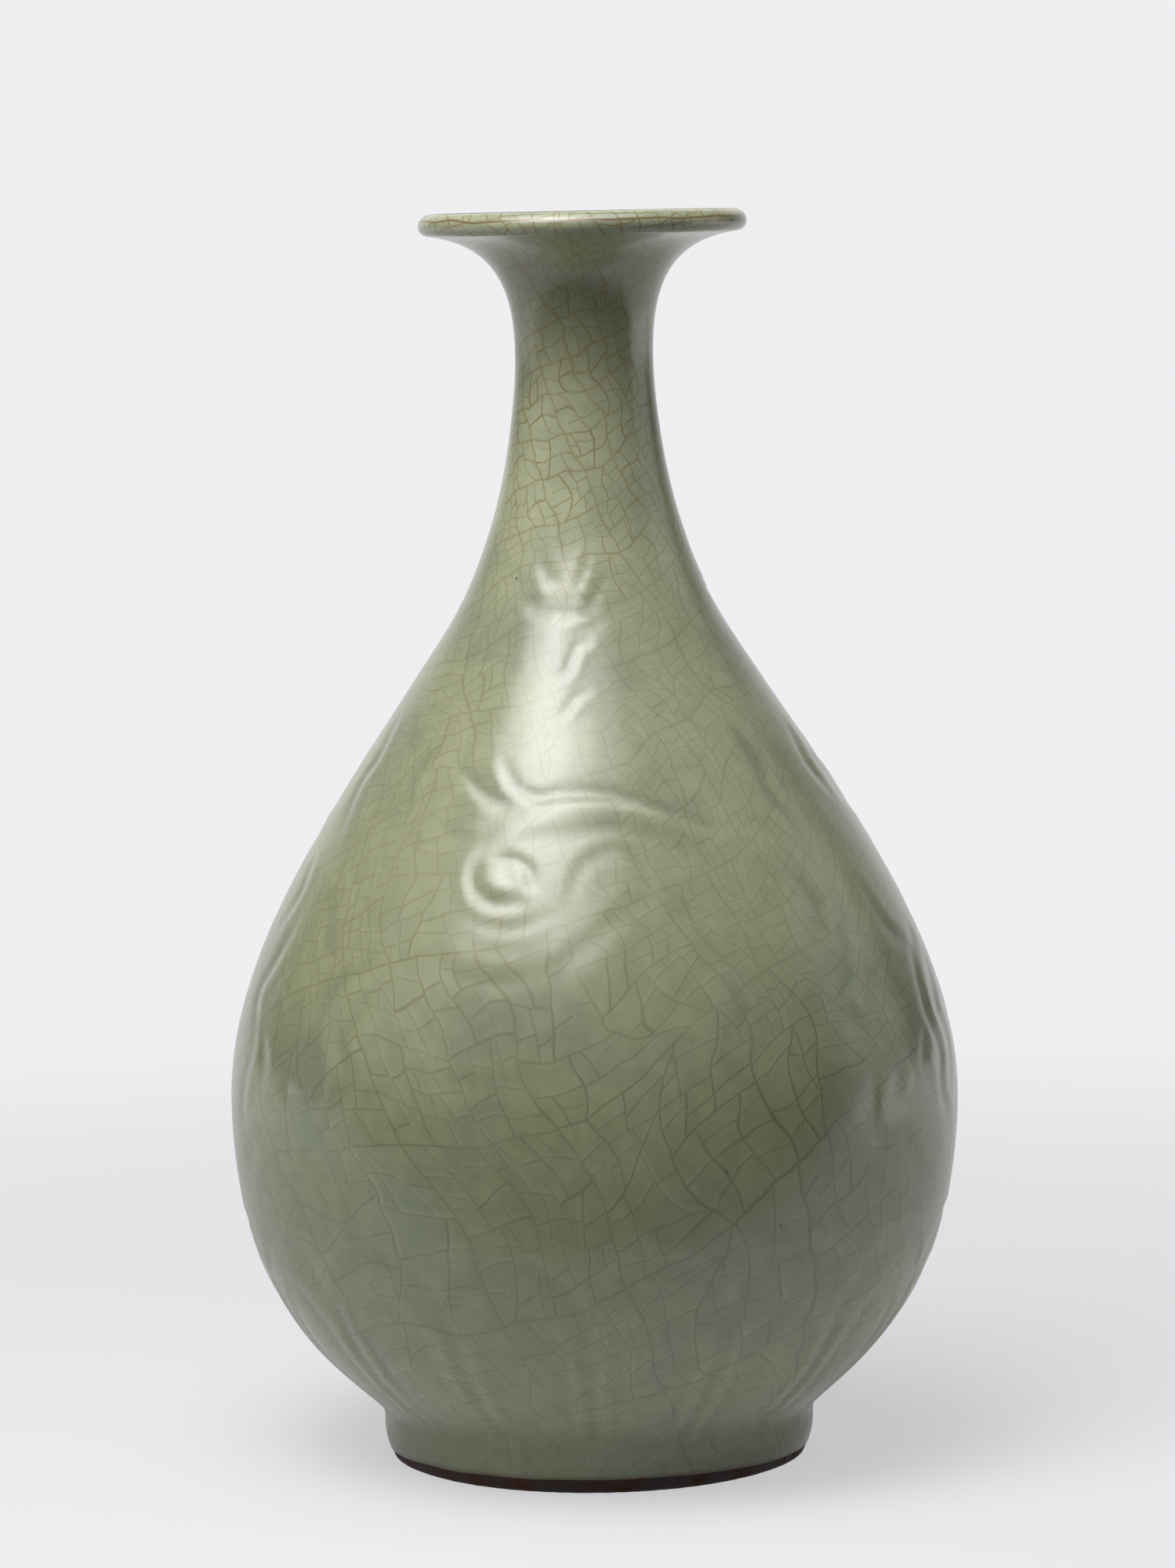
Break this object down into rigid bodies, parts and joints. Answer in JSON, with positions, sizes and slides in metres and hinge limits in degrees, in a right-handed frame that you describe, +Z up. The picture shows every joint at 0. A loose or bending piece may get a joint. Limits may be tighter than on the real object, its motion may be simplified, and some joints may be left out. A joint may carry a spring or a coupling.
{
  "type": "pear-shaped bottle vase",
  "caption": "Pear-shaped celadon bottle vase with a slender neck, a trumpet mouth with a rolled lip and a low foot ring, built of luted stoneware sections under glaze coats.",
  "frame": {"origin": "centre of the foot's contact ring, on the table", "axes": "+Z up the axis of the vase; -Y towards the side that the picture shows"},
  "size_m": [0.193, 0.193, 0.33],
  "materials": {
    "bare_foot": "bare stoneware, fired dark red-brown",
    "stoneware": "fired pale grey stoneware",
    "slip": "fired slip, matte",
    "celadon": "glossy grey-green celadon glaze with stained crackle"
  },
  "bodies": {
    "root": {"foot_ring": "bare_foot", "foot_luting": "slip", "lower_body": "stoneware", "belly_luting": "slip", "upper_body": "stoneware", "shoulder_luting": "slip", "neck_and_mouth": "stoneware", "outer_glaze": "celadon", "inner_glaze": "celadon", "base_glaze": "celadon"}
  },
  "joints": []
}
